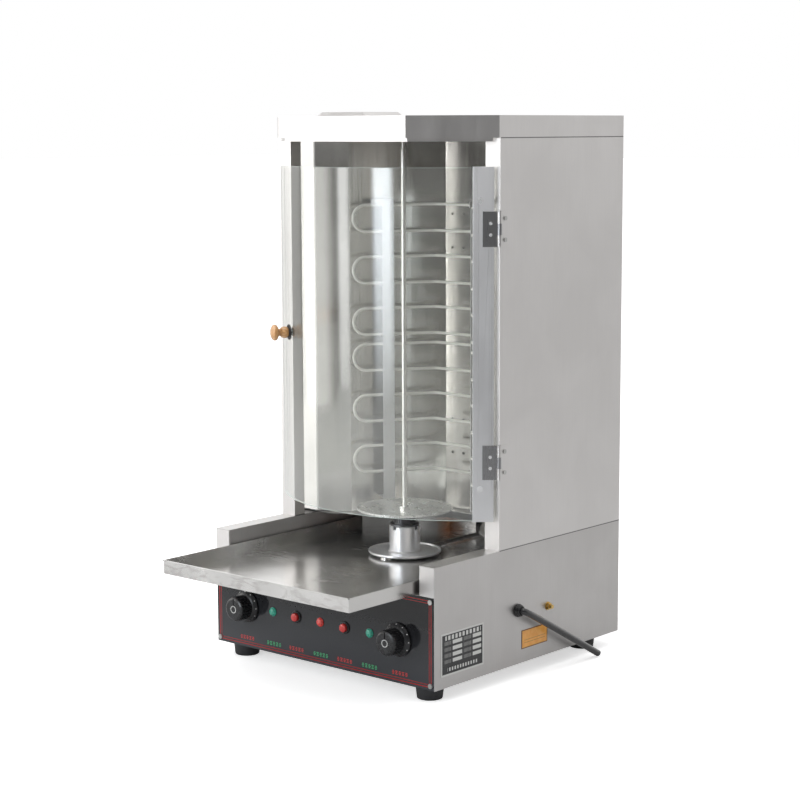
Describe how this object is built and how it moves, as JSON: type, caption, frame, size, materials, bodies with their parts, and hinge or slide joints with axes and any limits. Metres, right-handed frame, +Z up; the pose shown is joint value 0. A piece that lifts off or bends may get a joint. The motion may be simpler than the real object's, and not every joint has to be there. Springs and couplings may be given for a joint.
{
  "type": "vertical rotisserie broiler",
  "caption": "Counter-top electric vertical broiler: curved hinged glass door, spit on a driven hub, heating elements before a reflector, sliding drip tray and a control panel.",
  "frame": {"origin": "where the spit's axis meets the underside of the base; the feet stand below it", "axes": "+Z up along the spit, +Y to the back, +X to the operator's right"},
  "size_m": [0.456, 0.5802, 0.814],
  "materials": {
    "stainless": "satin brushed sheet",
    "mirror_steel": "mirror-polished sheet",
    "overlay": "gloss printed film",
    "rubber": "matt",
    "zinc": "zinc-plated",
    "insulation": "ceramic fibre board",
    "brass": "machined",
    "element": "bright tube",
    "ceramic": "unglazed",
    "motor_paint": "satin paint",
    "chrome": "polished",
    "cast_iron": "oiled",
    "glass": "clear toughened",
    "aluminium": "anodised",
    "wood": "turned and varnished",
    "black_plastic": "moulded",
    "green_lens": "moulded lens",
    "red_plastic": "moulded",
    "cord": "smooth jacket",
    "plate_print": "printed plate"
  },
  "bodies": {
    "case": {"base_back": "stainless", "base_floor": "stainless", "base_side_left": "stainless", "base_side_right": "stainless", "cabinet_back": "stainless", "cabinet_floor": "stainless", "cabinet_side_left": "stainless", "cabinet_side_right": "stainless", "cable_gland": "black_plastic", "cap_cover": "stainless", "case_screws": "zinc", "ceiling_plate": "stainless", "deck": "stainless", "earth_stud": "brass", "element_bushes": "ceramic", "element_straps": "stainless", "element_terminals": "zinc", "foot_screws": "zinc", "frame_hinge_leaves": "stainless", "frame_hinge_screws": "zinc", "front_panel": "stainless", "gearmotor": "motor_paint", "heating_elements_lower": "element", "heating_elements_upper": "element", "hinge_pins": "zinc", "insulation": "insulation", "motor_bracket": "zinc", "panel_overlay": "overlay", "pilot_lamps": "green_lens", "power_cord": "cord", "reflector_back": "mirror_steel", "reflector_left": "mirror_steel", "reflector_right": "mirror_steel", "rubber_feet": "rubber", "shaft_bearing": "brass", "side_plates": "plate_print", "switch_bodies": "black_plastic", "thermostats": "black_plastic", "top_cap": "stainless", "upper_bushing": "brass", "wiring_harness": "cord"},
    "hub": {"drive_hub": "chrome", "drive_shaft": "zinc"},
    "spit": {"spit_coupling": "cast_iron", "meat_disc": "chrome", "disc_nut": "chrome", "spit_rod": "chrome"},
    "door": {"door_glass": "glass", "door_rail": "aluminium", "door_clamp": "aluminium", "door_screws": "zinc", "door_hinge_leaves": "stainless", "door_knob": "wood", "door_knob_screw": "zinc", "door_knob_washers": "rubber"},
    "tray": {"drip_tray": "stainless"},
    "knob_left": {"thermostat_knob_left": "black_plastic"},
    "knob_right": {"thermostat_knob_right": "black_plastic"},
    "push_left": {"button_left": "red_plastic"},
    "push_right": {"button_right": "red_plastic"}
  },
  "joints": [
    {"name": "hub_spin", "type": "hinge", "parent": "case", "child": "hub", "pos_m": [0, 0, 0.15], "axis": [0, 0, 1], "continuous": true},
    {"name": "spit_lift", "type": "slide", "parent": "hub", "child": "spit", "axis": [0, 0, 1], "range_m": [0, 0.0125]},
    {"name": "door_swing", "type": "hinge", "parent": "case", "child": "door", "pos_m": [0.217, -0.046, 0.45], "axis": [0, 0, 1], "range_deg": [0, 120]},
    {"name": "tray_slide", "type": "slide", "parent": "case", "child": "tray", "axis": [0, -1, 0], "range_m": [-0.041, 0.12]},
    {"name": "knob_left_turn", "type": "hinge", "parent": "case", "child": "knob_left", "pos_m": [-0.15, -0.187, 0.0635], "axis": [0, 1, 0], "range_deg": [0, 270]},
    {"name": "knob_right_turn", "type": "hinge", "parent": "case", "child": "knob_right", "pos_m": [0.15, -0.187, 0.0635], "axis": [0, 1, 0], "range_deg": [0, 270]},
    {"name": "push_left_travel", "type": "slide", "parent": "case", "child": "push_left", "axis": [0, 1, 0], "range_m": [0, 0.0035]},
    {"name": "push_right_travel", "type": "slide", "parent": "case", "child": "push_right", "axis": [0, 1, 0], "range_m": [0, 0.0035]}
  ]
}
